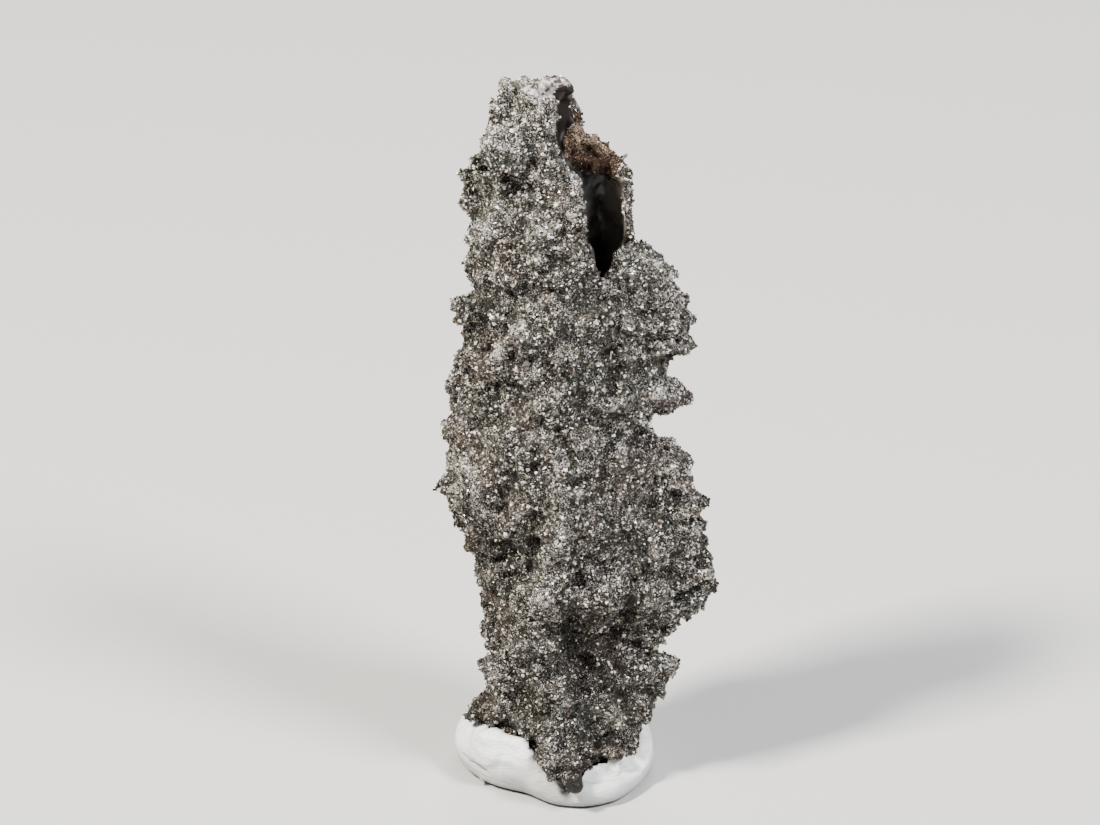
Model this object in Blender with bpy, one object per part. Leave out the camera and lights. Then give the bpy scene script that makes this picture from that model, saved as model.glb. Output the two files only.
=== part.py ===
"""A fulgurite, the glass tube that lightning fuses out of desert sand, standing in a pad of mounting putty.

The tube is sheathed in fused sand that is drawn out into a left and a right wing, a keel in front, ridges
behind, and rows of knobs along each. Near the top the wall is broken away and the bore shows.

Lengths are in metres, +Z is up, and +Y points away from the front. The origin is the middle of the
putty's flat underside. Run it with: blender --background --python part.py
"""

import math
import random

import bmesh
import bpy
from mathutils import Matrix, Vector, noise

MM = 0.001

# The sand sheath between its knobs, from the foot up, in millimetres: a height, the x of the axis there,
# the x of the left crest, the x of the right crest, the y of the front and the y of the back.
SHEATH_STATIONS = (
    (1.6, 1.1, 0.2, 2.0, -5.2, -3.4),
    (3.0, 0.8, -4.8, 6.0, -5.2, 3.6),
    (5.5, 0.6, -5.6, 7.2, -4.9, 4.8),
    (8.5, 0.6, -5.6, 8.0, -4.4, 5.6),
    (12.0, 0.6, -5.4, 7.8, -4.3, 5.0),
    (14.0, 0.8, -5.5, 9.4, -4.5, 4.6),
    (16.0, 1.0, -5.8, 11.6, -4.8, 5.2),
    (19.0, 1.0, -6.2, 12.0, -4.9, 6.2),
    (22.0, 1.0, -7.4, 11.4, -5.1, 6.3),
    (26.5, 1.0, -8.3, 10.0, -5.2, 5.5),
    (31.0, 0.8, -8.3, 7.2, -5.2, 4.9),
    (34.5, 0.6, -8.1, 8.0, -5.0, 5.6),
    (39.0, 0.4, -7.1, 9.2, -4.9, 6.3),
    (43.5, 0.2, -6.7, 9.2, -4.7, 5.4),
    (47.0, 0.2, -6.6, 6.6, -4.5, 4.5),
    (51.0, 0.2, -6.6, 5.8, -4.3, 5.0),
    (53.0, 0.1, -6.2, 5.8, -4.0, 5.0),
    (54.6, -0.2, -5.8, 5.1, -3.9, 4.5),
    (56.4, -0.6, -4.8, 3.4, -3.4, 3.9),
    (58.4, -1.2, -4.3, 1.6, -2.8, 2.9),
    (60.0, -1.5, -3.7, 0.8, -1.9, 1.6),
    (60.8, -1.4, -2.6, 0.2, -1.0, 0.8),
)
SHEATH_SQUARENESS = 1.35  # 2 makes a section an ellipse and 1 a diamond; between them it thins to its wings
RING_STEP = 0.6 * MM
RING_POINTS = 84
SHEATH_WAVE = 0.55 * MM  # how far the sheath swells and sinks between its knobs
WAVE_LENGTH = 5.0 * MM

# The knobs that make each wing's edge: a height, how far out the knob's tip reaches, and its radius.
LEFT_KNOBS = (
    (5.4, -7.4, 1.0),
    (7.4, -6.0, 0.9),
    (9.6, -6.5, 1.0),
    (13.6, -6.0, 1.1),
    (15.6, -6.2, 0.9),
    (17.8, -6.7, 1.0),
    (20.6, -7.5, 0.9),
    (22.6, -8.6, 0.9),
    (24.4, -9.1, 0.9),
    (26.1, -10.0, 1.0),
    (28.6, -9.0, 0.9),
    (31.4, -9.2, 1.0),
    (33.4, -8.9, 0.7),
    (35.2, -9.4, 1.0),
    (37.4, -8.4, 0.8),
    (39.8, -7.9, 0.8),
    (42.0, -8.6, 1.0),
    (44.2, -7.2, 0.7),
    (46.0, -7.8, 0.9),
    (48.0, -7.5, 0.8),
    (50.6, -7.8, 0.8),
    (52.6, -7.4, 0.8),
    (53.9, -7.8, 0.6),
    (56.0, -6.3, 0.8),
    (58.5, -5.5, 0.7),
    (60.5, -4.2, 0.7),
)
RIGHT_KNOBS = (
    (3.8, 7.6, 1.0),
    (6.0, 8.5, 0.9),
    (8.0, 9.5, 0.8),
    (9.6, 10.2, 0.9),
    (11.7, 8.3, 0.7),
    (13.0, 10.0, 0.9),
    (14.9, 11.8, 0.8),
    (16.8, 13.4, 1.0),
    (18.9, 13.0, 1.0),
    (20.9, 12.8, 0.9),
    (22.7, 12.3, 0.8),
    (24.7, 12.5, 1.0),
    (26.4, 11.2, 0.8),
    (28.2, 11.2, 1.0),
    (30.0, 9.4, 0.8),
    (32.9, 8.6, 0.8),
    (34.0, 10.7, 1.2),
    (36.8, 9.4, 0.8),
    (38.5, 11.0, 0.9),
    (40.9, 11.0, 1.0),
    (42.8, 10.7, 0.9),
    (45.1, 9.8, 0.8),
    (46.9, 7.8, 0.8),
)
KNOB_LENGTH = 3.4  # a wing knob is this many radii long, most of it inside the wing
KNOB_PITCH = math.radians(12)

# Single forms on the front: the x and height of the middle, the y of its face, and its half width,
# half depth and half height.
FRONT_LUMPS = (
    (-3.9, 56.6, -4.4, 2.1, 2.4, 1.8),
    (-4.4, 58.6, -1.6, 1.1, 1.2, 1.1),
    (-3.8, 60.6, -0.9, 0.8, 0.9, 0.8),
    (-2.5, 60.8, -0.9, 0.9, 0.9, 0.8),
    (-0.3, 59.6, -1.9, 1.0, 1.2, 1.1),
    (-1.5, 58.4, -2.7, 1.4, 1.4, 1.2),
    (-0.9, 55.9, -3.4, 1.1, 1.2, 1.4),
    (-1.3, 60.8, -1.1, 0.9, 1.0, 0.6),
    (-0.4, 61.3, -1.1, 0.9, 1.0, 0.6),
    (0.4, 61.1, -0.9, 0.7, 1.0, 0.6),
    (0.9, 60.3, -0.5, 0.6, 0.9, 0.8),
    (1.1, 58.9, 0.2, 0.7, 0.9, 0.9),
    (1.0, 58.3, 2.1, 0.7, 1.0, 0.8),
    (1.4, 57.2, 1.9, 0.8, 1.0, 0.7),
    (1.1, 56.2, 1.7, 0.8, 0.9, 0.6),
    (1.5, 53.3, -4.3, 1.1, 1.3, 1.2),
    (1.5, 50.9, -4.7, 1.2, 1.3, 1.6),
    (2.3, 47.6, -4.9, 1.4, 1.2, 1.3),
    (5.3, 49.8, -1.9, 0.8, 1.8, 2.6),
    (5.1, 52.6, -0.8, 0.8, 1.3, 1.2),
    (6.0, 46.3, -3.4, 1.7, 1.3, 1.3),
    (-5.4, 49.4, -3.2, 1.4, 1.2, 1.1),
    (-1.0, 49.6, -5.0, 1.6, 1.2, 1.1),
    (-3.6, 46.4, -4.6, 1.5, 1.2, 0.9),
    (0.6, 46.6, -5.2, 1.0, 1.1, 1.2),
    (-1.9, 41.6, -5.6, 1.4, 1.2, 1.0),
    (-4.4, 42.9, -4.2, 1.3, 1.1, 0.9),
    (2.6, 43.0, -5.2, 1.3, 1.2, 1.2),
    (-4.0, 39.0, -4.9, 1.9, 1.2, 0.9),
    (-0.6, 36.0, -6.0, 1.7, 1.3, 1.0),
    (1.0, 39.4, -5.8, 1.1, 1.2, 1.2),
    (-3.2, 32.2, -5.3, 1.5, 1.2, 1.3),
    (4.6, 35.6, -4.4, 1.3, 1.1, 1.0),
    (0.3, 28.6, -6.3, 1.2, 1.2, 2.0),
    (-5.4, 27.6, -4.0, 1.5, 1.2, 1.2),
    (4.6, 28.8, -4.6, 1.3, 1.1, 1.3),
    (2.8, 25.4, -6.1, 1.4, 1.2, 1.0),
    (-0.2, 23.9, -6.4, 1.3, 1.3, 1.3),
    (-3.4, 24.6, -5.3, 1.4, 1.2, 1.2),
    (7.2, 23.6, -3.9, 1.6, 1.2, 1.2),
    (-0.9, 18.9, -6.2, 1.3, 1.3, 1.7),
    (4.0, 18.8, -5.9, 1.9, 1.8, 1.6),
    (7.6, 17.6, -4.1, 1.6, 1.3, 1.3),
    (-2.6, 13.9, -5.3, 1.6, 1.4, 1.7),
    (-4.2, 10.6, -3.4, 1.3, 1.2, 1.8),
    (-0.6, 9.6, -5.4, 1.2, 1.2, 1.4),
    (0.0, 5.8, -5.6, 1.3, 1.3, 1.6),
    (1.0, 3.6, -6.1, 1.4, 1.6, 1.4),
    (1.25, 2.2, -7.2, 1.0, 1.3, 1.0),
    (6.6, 10.4, -3.4, 1.6, 1.3, 1.6),
    (6.6, 6.4, -3.2, 1.5, 1.3, 1.3),
    (4.0, 3.2, -4.0, 1.5, 1.3, 1.2),
    (6.0, 3.4, -3.1, 1.4, 1.3, 1.2),
)

# Hollows in the front: the x and height of the middle, the half width and half height, and the depth.
FRONT_HOLLOWS = (
    (0.9, 14.8, 1.3, 1.9, 2.4),
    (4.4, 13.6, 2.2, 1.2, 2.0),
    (5.4, 15.4, 1.0, 1.2, 1.2),
    (2.0, 10.8, 1.5, 2.6, 2.8),
    (2.8, 6.4, 0.9, 2.2, 0.7),
    (-4.0, 20.0, 2.4, 2.1, 2.4),
    (-2.2, 23.2, 0.9, 0.9, 1.2),
    (5.8, 39.6, 2.6, 0.8, 0.6),
    (6.4, 36.9, 2.4, 0.8, 1.1),
    (3.6, 33.0, 1.4, 3.2, 1.1),
    (-5.2, 36.6, 2.6, 0.9, 1.1),
    (-4.0, 53.6, 1.9, 0.8, 1.2),
    (-2.2, 54.2, 1.3, 0.8, 0.7),
    (-5.8, 45.0, 2.2, 0.8, 1.0),
    (0.8, 31.2, 0.8, 1.0, 1.6),
    (1.9, 20.6, 0.8, 1.2, 1.2),
    (4.8, 22.0, 2.4, 0.8, 1.0),
)

# The smaller lumps that cover the whole sheath.
LUMP_SEED = 11
LUMP_SPACING = 1.9 * MM
LUMP_RADII = (0.6 * MM, 1.05 * MM)
LUMP_FLATNESS = 0.9  # a lump's height over its width
LUMP_SHIFT = 0.42  # how far a lump strays from its place, as a share of the spacing

# The ridges behind: the compass angle of each on the section, and the radius and spacing of its knobs.
BACK_RIDGES = (math.radians(62), math.radians(118))
RIDGE_KNOB_RADII = (0.8 * MM, 1.4 * MM)
RIDGE_KNOB_SPACING = 2.4 * MM
RIDGE_KNOB_LIFT = 0.5 * MM

# The bore, from its blind end up: a height, the x and y of the middle, and the half width and half depth.
BORE_STATIONS = (
    (20.0, 1.4, 0.2, 0.4, 0.5),
    (26.0, 1.6, 0.2, 1.2, 1.4),
    (38.0, 2.4, 0.0, 1.5, 1.7),
    (46.0, 3.5, -0.1, 1.6, 1.8),
    (50.0, 3.6, -0.2, 1.6, 2.0),
    (52.4, 3.4, -0.4, 1.6, 2.0),
    (53.8, 2.3, -0.5, 1.5, 1.7),
    (55.2, 1.0, -0.2, 1.1, 1.6),
    (57.5, 0.6, 0.1, 0.7, 1.5),
    (59.4, 0.55, 0.0, 0.5, 1.0),
    (60.5, 0.5, 0.0, 0.25, 0.45),
)
BORE_POINTS = 28
BORE_RING_STEP = 1.0 * MM

# The break in the front and right of the wall, as it shows from the front: x and height of each corner.
BREAK_OUTLINE = (
    (0.5, 60.6),
    (0.15, 59.8),
    (0.1, 56.5),
    (0.6, 55.4),
    (1.9, 54.3),
    (2.2, 53.2),
    (2.2, 50.6),
    (2.4, 48.8),
    (3.0, 47.8),
    (3.4, 45.3),
    (4.2, 45.3),
    (4.7, 47.6),
    (5.1, 49.4),
    (4.9, 51.5),
    (5.0, 53.2),
    (6.8, 54.6),
    (6.8, 59.5),
    (2.2, 60.6),
    (1.0, 60.1),
)
BREAK_FRONT = -9.0 * MM
BREAK_BACK = 0.1 * MM
BREAK_LEAN = 0.35  # how far the broken edge behind leans back for each millimetre up from the ledge
LEDGE_HEIGHT = 53.5 * MM

FUSE_SIZE = 0.36 * MM
FULGURITE_FACES_KEPT = 0.118

# The pad of putty: its outline's radius at every 30 degrees, from the right round by the back.
PAD_RADII = (8.2, 8.2, 7.3, 6.7, 7.3, 8.4, 8.2, 7.0, 5.8, 6.8, 7.7, 8.0)
# Its height at the same places.
PAD_HEIGHTS = (3.6, 4.1, 4.3, 4.3, 4.4, 4.7, 4.9, 4.9, 5.0, 2.4, 2.5, 3.1)
PAD_POINTS = 48
# The pad's side, from its underside to its crown: shares of the outline's radius and of the height.
PAD_PROFILE = ((0.86, 0.0), (0.96, 0.10), (1.0, 0.34), (0.98, 0.60), (0.90, 0.83), (0.72, 0.97), (0.40, 1.0))
SOCKET_CLEARANCE = 0.34 * MM
SOCKET_FUSE_SIZE = 0.6 * MM
SOCKET_FACES_KEPT = 0.10


def clear_scene():
    for thing in list(bpy.data.objects):
        bpy.data.objects.remove(thing, do_unlink=True)


def material(name, colour, roughness):
    made = bpy.data.materials.new(name)
    made.use_nodes = True
    shader = made.node_tree.nodes["Principled BSDF"]
    shader.inputs["Base Color"].default_value = (*colour, 1.0)
    shader.inputs["Roughness"].default_value = roughness
    shader.inputs["Metallic"].default_value = 0.0
    return made


def object_from(bm, name):
    mesh = bpy.data.meshes.new(name)
    bmesh.ops.recalc_face_normals(bm, faces=bm.faces)
    bm.to_mesh(mesh)
    bm.free()
    made = bpy.data.objects.new(name, mesh)
    bpy.context.scene.collection.objects.link(made)
    return made


def as_cutter(made):
    made.hide_render = True
    made.display_type = "WIRE"
    return made


def between(stations, height):
    """The stations' row at a height, on a smooth curve through the rows."""
    last = len(stations) - 1
    above = next((i for i, row in enumerate(stations) if row[0] >= height), last)
    i = max(1, above)
    before, low, high, after = (stations[min(max(k, 0), last)] for k in (i - 2, i - 1, i, i + 1))
    t = min(max((height - low[0]) / (high[0] - low[0]), 0.0), 1.0)
    row = []
    for a, b, c, d in zip(before[1:], low[1:], high[1:], after[1:]):
        slope_in, slope_out = (c - a) / 2, (d - b) / 2
        row.append(
            (2 * t**3 - 3 * t**2 + 1) * b
            + (t**3 - 2 * t**2 + t) * slope_in
            + (3 * t**2 - 2 * t**3) * c
            + (t**3 - t**2) * slope_out
        )
    return row


def sheath_point(height, angle):
    """A point of the sheath, without its knobs. Angle 0 is the right crest and 90 degrees the back."""
    axis_x, left, right, front, back = (value * MM for value in between(SHEATH_STATIONS, height / MM))
    across = right - axis_x if math.cos(angle) > 0 else axis_x - left
    middle_y = (front + back) / 2
    deep = (back - front) / 2
    n = SHEATH_SQUARENESS
    reach = (abs(math.cos(angle) / across) ** n + abs(math.sin(angle) / deep) ** n) ** (-1 / n)
    point = Vector((axis_x + reach * math.cos(angle), middle_y + reach * math.sin(angle), height))
    outward = Vector((math.cos(angle), math.sin(angle), 0))
    point += outward * SHEATH_WAVE * noise.noise(point / WAVE_LENGTH)
    if math.sin(angle) < 0:
        point.y += hollow_depth(point.x, height)
    return point


def hollow_depth(x, height):
    """How far the hollows sink the front at a place."""
    depth = 0.0
    for middle_x, middle_z, half_width, half_height, deep in FRONT_HOLLOWS:
        away = ((x / MM - middle_x) / half_width) ** 2 + ((height / MM - middle_z) / half_height) ** 2
        depth += deep * MM * math.exp(-away)
    return depth


def lofted(bm, rings):
    """Joins rings of points into one closed skin, with a fan over each end."""
    loops = [[bm.verts.new(point) for point in ring] for ring in rings]
    for lower, upper in zip(loops, loops[1:]):
        for i, corner in enumerate(lower):
            j = (i + 1) % len(lower)
            bm.faces.new((corner, lower[j], upper[j], upper[i]))
    for loop in (loops[0], loops[-1]):
        middle = bm.verts.new(sum((v.co for v in loop), Vector()) / len(loop))
        for i, corner in enumerate(loop):
            bm.faces.new((corner, loop[(i + 1) % len(loop)], middle))


def add_sheath(bm):
    bottom, top = SHEATH_STATIONS[0][0] * MM, SHEATH_STATIONS[-1][0] * MM
    steps = round((top - bottom) / RING_STEP)
    rings = []
    for step in range(steps + 1):
        height = bottom + (top - bottom) * step / steps
        rings.append([sheath_point(height, math.tau * i / RING_POINTS) for i in range(RING_POINTS)])
    lofted(bm, rings)


def ball():
    """The corners and faces of a ball of radius 1."""
    bm = bmesh.new()
    bmesh.ops.create_icosphere(bm, subdivisions=2, radius=1.0)
    corners = [v.co.copy() for v in bm.verts]
    faces = [[v.index for v in face.verts] for face in bm.faces]
    bm.free()
    return corners, faces


BALL_CORNERS, BALL_FACES = ball()


def add_blob(bm, middle, along, half_length, half_width, half_height=None):
    """An egg-shaped solid: half_length lies along its direction, and half_height stands square to it."""
    along = along.normalized()
    across = along.cross(Vector((0, 0, 1)))
    across = across.normalized() if across.length > 1e-6 else Vector((1, 0, 0))
    turn = Matrix((along, across, across.cross(along))).transposed()
    size = Matrix.Diagonal((half_length, half_width, half_height or half_width))
    placed = [bm.verts.new(middle + turn @ size @ corner) for corner in BALL_CORNERS]
    for face in BALL_FACES:
        bm.faces.new([placed[i] for i in face])


def add_wing_knobs(bm, knobs, side):
    """The knobs of one wing's edge. Side is -1 on the left and 1 on the right."""
    rng = random.Random(LUMP_SEED + side)
    for height, tip_x, radius in knobs:
        pitch = KNOB_PITCH * rng.uniform(-1, 1)
        along = Vector((side * math.cos(pitch), 0.25 * rng.uniform(-1, 1), math.sin(pitch)))
        half_length = KNOB_LENGTH * radius * MM / 2
        tip = Vector((tip_x * MM, 0, height * MM))
        add_blob(bm, tip - along * half_length, along, half_length, radius * MM)
        # A smaller knob in front of each and one behind it thicken the wing.
        for depth in (-1.5, 1.5):
            shift = Vector((-side * rng.uniform(0.7, 1.6), depth, rng.uniform(-0.7, 0.7))) * MM
            add_blob(bm, tip + shift - along * half_length, along, half_length, 0.8 * radius * MM)


def add_front_lumps(bm):
    for x, height, face_y, half_width, half_depth, half_height in FRONT_LUMPS:
        middle = Vector((x, face_y + half_depth, height)) * MM
        add_blob(bm, middle, Vector((1, 0, 0)), half_width * MM, half_depth * MM, half_height * MM)


def add_ridge_knobs(bm):
    rng = random.Random(LUMP_SEED + 2)
    for angle in BACK_RIDGES:
        height = 5 * MM
        while height < 57 * MM:
            point = sheath_point(height, angle + 0.12 * rng.uniform(-1, 1))
            outward = Vector((math.cos(angle), math.sin(angle), 0.3 * rng.uniform(-1, 1))).normalized()
            radius = rng.uniform(*RIDGE_KNOB_RADII)
            add_blob(bm, point + outward * (RIDGE_KNOB_LIFT - radius / 2), outward, 1.3 * radius, radius)
            height += RIDGE_KNOB_SPACING * rng.uniform(0.7, 1.2)


def add_small_lumps(bm):
    """Rows of lumps round the whole sheath, each strayed from its place."""
    rng = random.Random(LUMP_SEED)
    height = SHEATH_STATIONS[1][0] * MM
    while height < SHEATH_STATIONS[-2][0] * MM:
        ring = [sheath_point(height, math.tau * i / RING_POINTS) for i in range(RING_POINTS)]
        girth = sum((ring[i] - ring[i - 1]).length for i in range(RING_POINTS))
        count = max(4, round(girth / LUMP_SPACING))
        for k in range(count):
            angle = math.tau * (k + LUMP_SHIFT * rng.uniform(-1, 1)) / count
            point = sheath_point(height + LUMP_SPACING * LUMP_SHIFT * rng.uniform(-1, 1), angle)
            radius = rng.uniform(*LUMP_RADII)
            along = Vector((-math.sin(angle), math.cos(angle), 0.5 * rng.uniform(-1, 1)))
            outward = Vector((math.cos(angle), math.sin(angle), 0))
            middle = point + outward * radius * rng.uniform(-0.35, 0.15)
            add_blob(bm, middle, along, radius * rng.uniform(0.9, 1.35), LUMP_FLATNESS * radius, radius)
        height += LUMP_SPACING * 0.86


def bore_cutter():
    bm = bmesh.new()
    bottom, top = BORE_STATIONS[0][0] * MM, BORE_STATIONS[-1][0] * MM
    steps = round((top - bottom) / BORE_RING_STEP)
    rings = []
    for step in range(steps + 1):
        height = bottom + (top - bottom) * step / steps
        x, y, half_width, half_depth = (value * MM for value in between(BORE_STATIONS, height / MM))
        ring = []
        for i in range(BORE_POINTS):
            angle = math.tau * i / BORE_POINTS
            outward = Vector((math.cos(angle), math.sin(angle), 0))
            ripple = 1 + 0.12 * noise.noise(3 * outward + Vector((0, 0, height / (3 * MM))))
            across, deep = half_width * ripple * outward.x, half_depth * ripple * outward.y
            ring.append(Vector((x + across, y + deep, height)))
        rings.append(ring)
    lofted(bm, rings)
    return as_cutter(object_from(bm, "bore_cutter"))


def break_cutter():
    bm = bmesh.new()
    corners = [bm.verts.new((x * MM, BREAK_FRONT, height * MM)) for x, height in BREAK_OUTLINE]
    face = bm.faces.new(corners)
    pushed = bmesh.ops.extrude_face_region(bm, geom=[face])["geom"]
    moved = [v for v in pushed if isinstance(v, bmesh.types.BMVert)]
    for corner in moved:
        corner.co.y = BREAK_BACK + BREAK_LEAN * max(0.0, corner.co.z - LEDGE_HEIGHT)
    return as_cutter(object_from(bm, "break_cutter"))


def fuse(thing, size):
    skin = thing.modifiers.new("fuse", "REMESH")
    skin.mode = "VOXEL"
    skin.voxel_size = size
    skin.use_smooth_shade = True


def cut(thing, cutter):
    change = thing.modifiers.new(cutter.name, "BOOLEAN")
    change.operation = "DIFFERENCE"
    change.solver = "EXACT"
    change.object = cutter


def thin_out(thing, share_kept):
    change = thing.modifiers.new("facets", "DECIMATE")
    change.decimate_type = "COLLAPSE"
    change.ratio = share_kept
    change.use_collapse_triangulate = True


def fulgurite(bore, broken):
    bm = bmesh.new()
    add_sheath(bm)
    add_wing_knobs(bm, LEFT_KNOBS, -1)
    add_wing_knobs(bm, RIGHT_KNOBS, 1)
    add_front_lumps(bm)
    add_ridge_knobs(bm)
    add_small_lumps(bm)
    made = object_from(bm, "fulgurite")
    made.data.materials.append(material("fused_sand", (0.30, 0.28, 0.25), 0.85))
    fuse(made, FUSE_SIZE)
    cut(made, broken)
    cut(made, bore)
    fuse(made, FUSE_SIZE)
    thin_out(made, FULGURITE_FACES_KEPT)
    return made


def socket_cutter(stone):
    """The fulgurite a little larger all round, to press its shape into the putty."""
    made = bpy.data.objects.new("socket_cutter", stone.data)
    bpy.context.scene.collection.objects.link(made)
    fuse(made, SOCKET_FUSE_SIZE)
    swell = made.modifiers.new("clearance", "DISPLACE")
    swell.strength = SOCKET_CLEARANCE
    swell.mid_level = 0.0
    thin_out(made, SOCKET_FACES_KEPT)
    return as_cutter(made)


def round_the_pad(values, angle):
    """The value at an angle, in metres, on a smooth curve through twelve values round the pad."""
    place = angle / math.tau * len(values)
    i, t = int(place), place % 1
    before, low, high, after = (values[k % len(values)] * MM for k in (i - 1, i, i + 1, i + 2))
    slope_in, slope_out = (high - before) / 2, (after - low) / 2
    return (
        (2 * t**3 - 3 * t**2 + 1) * low
        + (t**3 - 2 * t**2 + t) * slope_in
        + (3 * t**2 - 2 * t**3) * high
        + (t**3 - t**2) * slope_out
    )


def putty_pad(socket):
    rings = []
    for radius_share, height_share in PAD_PROFILE:
        ring = []
        for i in range(PAD_POINTS):
            angle = math.tau * i / PAD_POINTS
            reach = round_the_pad(PAD_RADII, angle) * radius_share
            height = round_the_pad(PAD_HEIGHTS, angle) * height_share
            ring.append(Vector((reach * math.cos(angle), reach * math.sin(angle), height)))
        rings.append(ring)
    bm = bmesh.new()
    lofted(bm, rings)
    made = object_from(bm, "putty_pad")
    made.data.materials.append(material("putty", (0.82, 0.84, 0.84), 0.55))
    cut(made, socket)
    return made


def main():
    clear_scene()
    stone = fulgurite(bore_cutter(), break_cutter())
    putty_pad(socket_cutter(stone))


main()
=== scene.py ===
"""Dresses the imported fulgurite: a lightning-fused tube of desert sand standing in a pad of mounting putty.

The solid's own mesh is refined into a crumbly crust, coated with separate sand grains, and lined with
smooth glass where its wall is broken open. Lengths are in metres unless a name ends in _mm.
"""

import logging
import math
from collections.abc import Iterable
from dataclasses import dataclass, field
from enum import Enum
from typing import Any, ClassVar

import bmesh
import bpy
import numpy as np
from bpy.types import ID, Material, Mesh, NodeTree, Object
from bpy.types import NodeSocket as Socket
from mathutils import Matrix, Vector, noise
from mathutils.bvhtree import BVHTree


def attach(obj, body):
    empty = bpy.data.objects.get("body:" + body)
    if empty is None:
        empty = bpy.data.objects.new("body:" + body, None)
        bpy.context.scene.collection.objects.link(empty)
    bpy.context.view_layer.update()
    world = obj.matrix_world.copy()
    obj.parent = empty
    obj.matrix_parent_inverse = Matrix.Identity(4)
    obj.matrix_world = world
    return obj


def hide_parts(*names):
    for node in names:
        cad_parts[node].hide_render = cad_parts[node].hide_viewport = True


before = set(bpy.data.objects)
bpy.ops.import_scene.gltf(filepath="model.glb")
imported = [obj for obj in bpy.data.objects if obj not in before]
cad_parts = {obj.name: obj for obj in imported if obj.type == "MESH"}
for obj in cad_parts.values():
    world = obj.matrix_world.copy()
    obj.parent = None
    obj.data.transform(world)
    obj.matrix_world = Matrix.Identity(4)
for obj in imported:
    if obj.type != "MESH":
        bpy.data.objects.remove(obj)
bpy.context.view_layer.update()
LOG = logging.getLogger("fulgurite")
MM = 0.001
# Where the camera stands. The forms on the front are placed as they show from here.
EYE = (-0.00049, -0.3223, 0.2034)
# The name of the crust's map of tones: up to 1 where it is drawn pale and down to -1 where it is drawn dark.
# It holds the crust's own paleness and soot, and painted light and painted shade as well.
TONE = "tone"
# Where the noise is read for each axis of a bend. noise_vector isn't used, as it differs from run to run.
BEND_PLACES = (Vector((0.3, 5.7, 9.1)), Vector((4.6, 0.9, 7.4)), Vector((8.2, 3.5, 0.6)))
# Corners of a solid's mesh that are closer than this are one corner.
WELD = 1e-6
# How far apart the balls are that make up a roll, as a share of its radius.
BALL_SPACING = 0.35

Place = tuple[float, float, float]
Span = tuple[float, float]
Array = np.ndarray


# ---------------------------------------------------------------- small tools


def linear(code: str) -> tuple[float, float, float, float]:
    """Turns an sRGB hex colour into linear red, green, blue and an alpha of 1.

    Args:
        code: six hex digits, with or without a leading #.

    Returns:
        The four linear values that a colour socket takes.
    """
    digits = code.lstrip("#")
    values = [int(digits[i:i + 2], 16) / 255 for i in (0, 2, 4)]
    red, green, blue = (v / 12.92 if v <= 0.04045 else ((v + 0.055) / 1.055) ** 2.4 for v in values)
    return red, green, blue, 1.0


def add_node(tree: NodeTree, kind: str, inputs: dict[Any, Any] | None = None, **settings: Any) -> Any:
    """Adds one node with its settings, its input values and its links.

    Args:
        tree: the node tree that gets it.
        kind: the node's Blender type name.
        inputs: a value or an output socket for each input, by name or number. None leaves an input alone.
        **settings: the node's own properties.

    Returns:
        The new node.
    """
    node = tree.nodes.new(kind)
    for name, value in settings.items():
        setattr(node, name, value)
    for name, value in (inputs or {}).items():
        if isinstance(value, Socket):
            tree.links.new(value, node.inputs[name])
        elif value is not None:
            node.inputs[name].default_value = value
    return node


def add_object(name: str, data: ID) -> Object:
    """Adds an object to the scene.

    Args:
        name: the object's name.
        data: its mesh, lamp or camera.

    Returns:
        The new object.
    """
    made = bpy.data.objects.new(name, data)
    bpy.context.scene.collection.objects.link(made)
    return made


def read_vectors(mesh: Mesh, what: str) -> Array:
    """Reads each vertex's "co" or "normal" as rows of x, y, z."""
    return np.array([tuple(getattr(vertex, what)) for vertex in mesh.vertices])


def write_points(mesh: Mesh, points: Array) -> None:
    """Writes rows of x, y, z back to a mesh's vertices."""
    mesh.vertices.foreach_set("co", points.astype(np.float32).ravel())
    mesh.update()


def smooth_step(low: float, high: float, values: Array) -> Array:
    """Eases values from 0 at low to 1 at high."""
    t = np.clip((values - low) / (high - low), 0.0, 1.0)
    return t * t * (3 - 2 * t)


@dataclass(frozen=True)
class Zone:
    """A rounded stretch of space, from one point to another, in millimetres."""

    start: tuple[float, ...]
    end: tuple[float, ...]
    radius: float
    # Where its soft edge begins and ends, as multiples of the radius.
    edge: ClassVar[Span] = (0.75, 1.1)

    def wider(self, factor: float) -> "Zone":
        """Gives the same stretch with its radius multiplied."""
        return Zone(self.start, self.end, factor * self.radius)

    def share(self, points: Array) -> Array:
        """Says how far each point is inside the zone.

        Args:
            points: rows of coordinates in metres.

        Returns:
            1 well inside and 0 outside.
        """
        start, end = np.array(self.start) * MM, np.array(self.end) * MM
        along = end - start
        t = np.clip(((points - start) @ along) / max(float(along @ along), 1e-12), 0.0, 1.0)
        away = np.linalg.norm(points - (start + t[:, None] * along), axis=1)
        low, high = (edge * self.radius * MM for edge in self.edge)
        return 1.0 - smooth_step(low, high, away)


def run(points: tuple[Place, ...], radii: tuple[float, ...]) -> tuple[Zone, ...]:
    """Makes a run of zones, one from each point to the next."""
    return tuple(Zone(*ends) for ends in zip(points, points[1:], radii))


def share_of(zones: Iterable[Zone], points: Array) -> Array:
    """Says how far each point is inside any of the zones."""
    return np.max([zone.share(points) for zone in zones], axis=0)


@dataclass(frozen=True)
class Form(Zone):
    """A lump or a hollow on the front, as it shows from the camera.

    Its ends are an x and a height on the upright plane through the tube's middle. The rise is in
    millimetres, and the tone is how pale (up to 1) or how dark (down to -1) it is drawn, mostly painted light
    on a lump and painted shade in a hollow.
    """

    rise: float
    tone: float
    edge: ClassVar[Span] = (0.0, 1.4)


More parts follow.
